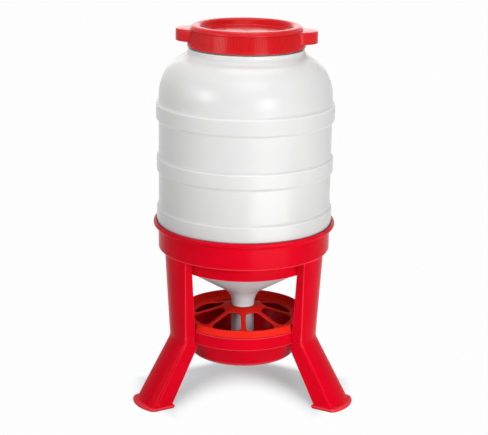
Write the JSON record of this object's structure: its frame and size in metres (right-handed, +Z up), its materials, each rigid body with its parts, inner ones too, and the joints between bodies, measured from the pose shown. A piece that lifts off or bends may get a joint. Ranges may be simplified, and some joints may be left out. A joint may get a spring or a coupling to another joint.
{
  "type": "gravity poultry feeder on legs",
  "caption": "Free-standing gravity feeder for poultry: a blow-moulded hopper barrel with a screw lid in a collar on splayed legs, over a feed bowl with a spoked anti-waste grid.",
  "frame": {"origin": "on the ground, on the barrel's axis", "axes": "+Z up along the barrel's axis, -Y to the front between the two front legs, +X to the right"},
  "size_m": [0.5086, 0.4872, 0.8545],
  "materials": {
    "red_plastic": "moulded, semi-gloss",
    "lid_plastic": "moulded, satin",
    "grid_plastic": "moulded, semi-gloss",
    "milky_plastic": "blow-moulded, milky satin",
    "seal_rubber": "matt",
    "zinc_steel": "zinc plated"
  },
  "bodies": {
    "stand": {"collar": "red_plastic", "leg_left": "red_plastic", "leg_right": "red_plastic", "leg_rear": "red_plastic", "feed_bowl": "red_plastic", "leg_left_upper_screw_1": "zinc_steel", "leg_left_upper_screw_2": "zinc_steel", "leg_left_lower_screw_1": "zinc_steel", "leg_left_lower_screw_2": "zinc_steel", "leg_right_upper_screw_1": "zinc_steel", "leg_right_upper_screw_2": "zinc_steel", "leg_right_lower_screw_1": "zinc_steel", "leg_right_lower_screw_2": "zinc_steel", "leg_rear_upper_screw_1": "zinc_steel", "leg_rear_upper_screw_2": "zinc_steel", "leg_rear_lower_screw_1": "zinc_steel", "leg_rear_lower_screw_2": "zinc_steel"},
    "grid": {"feed_grid": "grid_plastic"},
    "hopper": {"barrel": "milky_plastic"},
    "regulator": {"flow_regulator": "milky_plastic"},
    "seal": {"lid_seal": "seal_rubber"},
    "screw_lid": {"lid": "lid_plastic"}
  },
  "joints": [
    {"name": "grid_lift", "type": "slide", "parent": "stand", "child": "grid", "axis": [0, 0, 1], "range_m": [0, 0.01]},
    {"name": "hopper_lift", "type": "slide", "parent": "stand", "child": "hopper", "axis": [0, 0, 1], "range_m": [0, 0.3]},
    {"name": "regulator_slide", "type": "slide", "parent": "hopper", "child": "regulator", "axis": [0, 0, 1], "range_m": [-0.02, 0]},
    {"name": "lid_rise", "type": "slide", "parent": "hopper", "child": "seal", "axis": [0, 0, 1], "range_m": [0, 0.0151]},
    {"name": "lid_turn", "type": "hinge", "parent": "seal", "child": "screw_lid", "pos_m": [0, 0, 0.8545], "axis": [0, 0, 1], "range_deg": [0, 450]}
  ],
  "couplings": [
    {"joint": "lid_rise", "follows": "lid_turn", "m_per_rad": 0.0019099}
  ]
}
